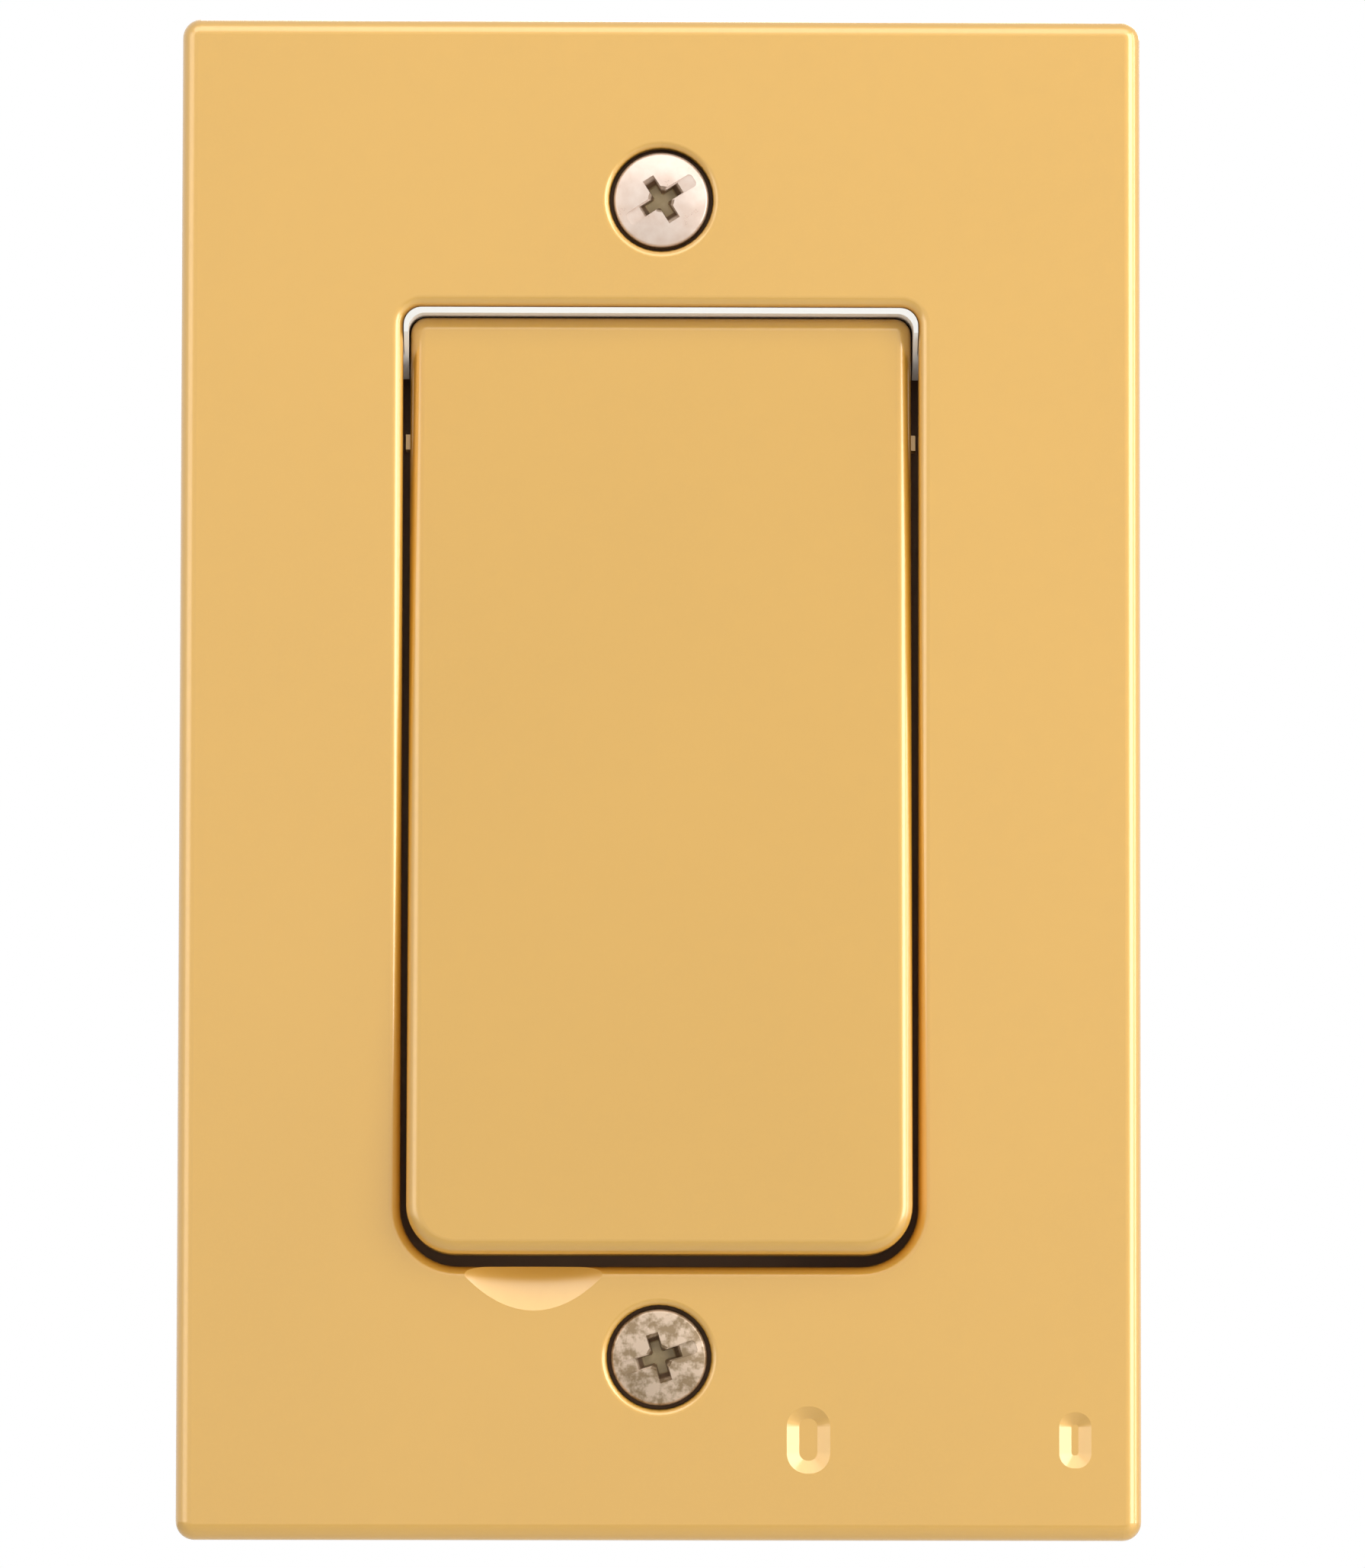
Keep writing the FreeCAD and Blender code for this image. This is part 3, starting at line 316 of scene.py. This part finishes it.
LOOKS = {
    "face_plate": satin_gold("plate_gold", PLATE_GOLD, 0.0, behind_plate_face),
    "paddle": satin_gold("paddle_gold", PADDLE_GOLD, 0.3),
    "captive_washers": fibre("fibre_washer"),
    "mounting_strap": galvanised("strap_steel"),
    "earth_screw": plated("earth_green", (0.03, 0.20, 0.07), (0.06, 0.28, 0.11), 0.34),
    "earth_clamp": galvanised("earth_steel"),
    "front_frame": moulded("frame_plastic", (0.50, 0.285, 0.14)),
    "gap_lip": moulded("lip_white", (0.93, 0.92, 0.88), 0.5, 1400.0, 0.1),
    "stop_pads": rubber("stop_rubber"),
    "rivets": rolled_metal("rivet_metal", (0.62, 0.42, 0.16), (0.72, 0.50, 0.22), 0.3, (0.3, 1.0, 0.3)),
    "housing": moulded("housing_plastic", (0.70, 0.66, 0.56), 0.5, 1100.0, 0.4),
    "rocker_carrier": moulded("carrier_plastic", (0.80, 0.77, 0.69)),
    "plunger": moulded("plunger_nylon", (0.84, 0.84, 0.78), 0.3, 1800.0, 0.1),
    "plunger_spring": rolled_metal("spring_steel", (0.50, 0.50, 0.51), (0.60, 0.60, 0.62), 0.26),
    "contact_lever": rolled_metal("lever_copper", (0.66, 0.32, 0.17), (0.74, 0.38, 0.22), 0.32, (1.0, 1.0, 0.05)),
    "terminal_screws": plated("terminal_screw_steel", (0.58, 0.58, 0.58), (0.70, 0.69, 0.66), 0.3),
}
for node in ("moving_contacts", "fixed_contacts"):
    LOOKS[node] = silver(node + "_silver")
for node in ("common_strip", "upper_strip", "lower_strip"):
    LOOKS[node] = rolled_metal(node + "_copper", (0.62, 0.29, 0.15), (0.72, 0.37, 0.20), 0.34, (0.05, 1.0, 1.0))
for node in ("common_block", "upper_block", "lower_block"):
    LOOKS[node] = rolled_metal(node + "_brass", (0.66, 0.45, 0.15), (0.75, 0.53, 0.20), 0.28, (1.0, 0.06, 1.0))

for node, material in LOOKS.items():
    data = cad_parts[node].data
    data.materials.clear()
    data.materials.append(material)


# ---- threaded box screws --------------------------------------------------------------------------------------
SCREW_Z = 41.65 * MM
NECK_END = -0.05 * MM
TAIL_END = 16.0 * MM
THREAD_R = 1.75 * MM
ROOT_R = 1.42 * MM
PITCH = 0.79 * MM
TIP_TAPER = 0.6 * MM
TIP_SLOPE = 0.75
THREAD_OVERLAP = 0.1 * MM
THREAD_SIDES = 40
RINGS_PER_PITCH = 10
FLANK_STEEPNESS = 2.3
CREST_FLAT = 1.25
RUN_IN, RUN_OUT = 0.6 * PITCH, 0.3 * PITCH


def thread_mesh(y0, y1):
    """Screw thread as one closed tube of rings whose radius follows the helix, tapered at the tip."""
    rings = int((y1 - y0) / PITCH * RINGS_PER_PITCH)
    mesh = bmesh.new()
    grid = []
    for i in range(rings + 1):
        y = y0 + (y1 - y0) * i / rings
        row = []
        for j in range(THREAD_SIDES):
            angle = 2 * math.pi * j / THREAD_SIDES
            phase = ((y - y0) / PITCH - j / THREAD_SIDES) % 1.0
            crest = max(0.0, 1.0 - abs(phase - 0.5) * FLANK_STEEPNESS)
            fade = min(1.0, (y - y0) / RUN_IN, (y1 - y) / RUN_OUT)
            radius = ROOT_R + (THREAD_R - ROOT_R) * min(1.0, crest * CREST_FLAT) * max(0.0, fade)
            radius = min(radius, THREAD_R - max(0.0, y - (y1 - TIP_TAPER)) * TIP_SLOPE)
            row.append(mesh.verts.new((radius * math.cos(angle), y, radius * math.sin(angle))))
        grid.append(row)
    for a, b in zip(grid, grid[1:]):
        for j in range(THREAD_SIDES):
            k = (j + 1) % THREAD_SIDES
            mesh.faces.new((a[j], a[k], b[k], b[j]))
    mesh.faces.new(grid[0][::-1])
    mesh.faces.new(grid[-1])
    bmesh.ops.recalc_face_normals(mesh, faces=mesh.faces)
    return mesh


def box_screws():
    """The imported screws' heads and necks with a real thread in place of the smooth tail."""
    mesh = bmesh.new()
    mesh.from_mesh(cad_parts["plate_screws"].data)
    tail = [v for v in mesh.verts if v.co.y > NECK_END + 0.01 * MM]
    bmesh.ops.delete(mesh, geom=tail, context="VERTS")
    data = bpy.data.meshes.new("box_screw_pair")
    mesh.to_mesh(data)
    mesh.free()
    obj = bpy.data.objects.new("box_screw_pair", data)
    bpy.context.scene.collection.objects.link(obj)
    parts = [obj]
    for side in (1, -1):
        thread = thread_mesh(NECK_END - THREAD_OVERLAP, TAIL_END)
        bmesh.ops.translate(thread, verts=thread.verts, vec=(0, 0, side * SCREW_Z))
        tail_data = bpy.data.meshes.new("box_screw_thread")
        thread.to_mesh(tail_data)
        thread.free()
        tail_data.shade_smooth()
        tail_obj = bpy.data.objects.new("upper_screw_thread" if side > 0 else "lower_screw_thread", tail_data)
        bpy.context.scene.collection.objects.link(tail_obj)
        parts.append(tail_obj)
    look = box_screw_plating("screw_plating")
    for part in parts:
        part.data.materials.clear()
        part.data.materials.append(look)
        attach(part, "base")
        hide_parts("plate_screws")


box_screws()


def shortening_spring():
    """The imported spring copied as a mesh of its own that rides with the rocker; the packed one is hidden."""
    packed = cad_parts["plunger_spring"]
    data = packed.data.copy()
    data.transform(packed.matrix_world)
    spring = bpy.data.objects.new("shortening_spring", data)
    bpy.context.scene.collection.objects.link(spring)
    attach(spring, "rocker")
    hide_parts("plunger_spring")
    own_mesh(spring)


shortening_spring()


# ---- studio -------------------------------------------------------------------------------------------------
FLOOR_Z = -0.20
FLOOR_RADIUS = 0.8
FLOOR_LIFT = 0.6
WORLD_SHOWN, WORLD_LIGHT = 1.0, 0.25


def pale_to_camera(s):
    """Lifts the floor towards white for camera rays only; shadows on it stay."""
    glow = s.add("ShaderNodeEmission")
    glow.inputs["Color"].default_value = (0.97, 0.97, 0.96, 1)
    seen = s.add("ShaderNodeLightPath").outputs["Is Camera Ray"]
    mix = s.add("ShaderNodeMixShader")
    s.link(s.spread(seen, 0.0, FLOOR_LIFT), mix.inputs["Fac"])
    s.link(s.bsdf.outputs["BSDF"], mix.inputs[1])
    s.link(glow.outputs["Emission"], mix.inputs[2])
    s.link(mix.outputs["Shader"], s.nodes["Material Output"].inputs["Surface"])


def studio_floor():
    """Plain pale disc well below the plate."""
    mesh = bmesh.new()
    bmesh.ops.create_circle(mesh, cap_ends=True, segments=96, radius=FLOOR_RADIUS)
    data = bpy.data.meshes.new("studio_floor")
    mesh.to_mesh(data)
    mesh.free()
    floor = bpy.data.objects.new("studio_floor", data)
    floor.location = (0, 0, FLOOR_Z)
    bpy.context.scene.collection.objects.link(floor)
    s = Shader("studio_floor")
    tone = s.noise(6.0, 3.0)
    data.materials.append(s.finish(s.ramp(tone, (0.3, (0.84, 0.84, 0.83)), (0.7, (0.88, 0.88, 0.87))),
                                   s.spread(tone, 0.7, 0.85), specular=0.2))
    pale_to_camera(s)


def studio_world():
    """White to the camera and in reflections, softer as a light."""
    world = bpy.data.worlds.new("studio")
    world.use_nodes = True
    bpy.context.scene.world = world
    nodes, links = world.node_tree.nodes, world.node_tree.links
    nodes.clear()
    out = nodes.new("ShaderNodeOutputWorld")
    mix = nodes.new("ShaderNodeMixShader")
    for slot, strength in ((1, WORLD_LIGHT), (2, WORLD_SHOWN)):
        background = nodes.new("ShaderNodeBackground")
        background.inputs["Color"].default_value = (1, 1, 1, 1)
        background.inputs["Strength"].default_value = strength
        links.new(background.outputs[0], mix.inputs[slot])
    path = nodes.new("ShaderNodeLightPath")
    seen = path.outputs["Is Camera Ray"]
    for ray in ("Is Glossy Ray", "Is Transmission Ray"):
        either = nodes.new("ShaderNodeMath")
        either.operation = "MAXIMUM"
        links.new(seen, either.inputs[0])
        links.new(path.outputs[ray], either.inputs[1])
        seen = either.outputs[0]
    links.new(seen, mix.inputs["Fac"])
    links.new(mix.outputs[0], out.inputs["Surface"])


def lamp(name, place, size, energy):
    """Rectangular lamp that faces the origin."""
    data = bpy.data.lights.new(name, "AREA")
    data.shape = "RECTANGLE"
    data.size, data.size_y = size
    data.energy = energy
    obj = bpy.data.objects.new(name, data)
    obj.location = place
    obj.rotation_euler = (-Vector(place)).to_track_quat("-Z", "Y").to_euler()
    bpy.context.scene.collection.objects.link(obj)


studio_floor()
studio_world()
lamp("key", (0.46, -0.36, 0.12), (0.28, 0.52), 1.62)
lamp("side", (0.60, -0.10, 0.12), (0.10, 0.60), 0.7)
lamp("upper", (0.0, -0.42, 0.48), (0.9, 0.4), 1.6)
lamp("left", (-0.55, -0.42, 0.10), (0.4, 0.5), 0.65)
lamp("back", (0.15, 0.60, 0.40), (0.5, 0.5), 3.0)


# ---- camera -------------------------------------------------------------------------------------------------
# Fitted to the plate's outline and both screws in the photo. Angles are in degrees.
DISTANCE = 0.50
AZIMUTH, ELEVATION, ROLL = -0.480, -2.600, 0.102
FOCAL_IN_WIDTHS = 9123.0 / 1792
TARGET = Vector((0.00161, -0.0052, -0.00052))


def photo_camera():
    a, e = math.radians(AZIMUTH), math.radians(ELEVATION)
    away = Vector((math.sin(a) * math.cos(e), -math.cos(a) * math.cos(e), math.sin(e)))
    data = bpy.data.cameras.new("photo_camera")
    data.sensor_fit = "HORIZONTAL"
    data.sensor_width = 36.0
    data.lens = 36.0 * FOCAL_IN_WIDTHS
    data.clip_start = 0.01
    data.clip_end = 20.0
    cam = bpy.data.objects.new("photo_camera", data)
    bpy.context.scene.collection.objects.link(cam)
    right = (-away).cross(Vector((0, 0, 1))).normalized()
    up = right.cross(-away)
    r = math.radians(ROLL)
    right, up = right * math.cos(r) + up * math.sin(r), up * math.cos(r) - right * math.sin(r)
    turn = Matrix((right, up, away)).transposed()
    cam.matrix_world = Matrix.Translation(TARGET + away * DISTANCE) @ turn.to_4x4()
    bpy.context.scene.camera = cam


photo_camera()
bpy.context.scene.view_settings.view_transform = "Standard"
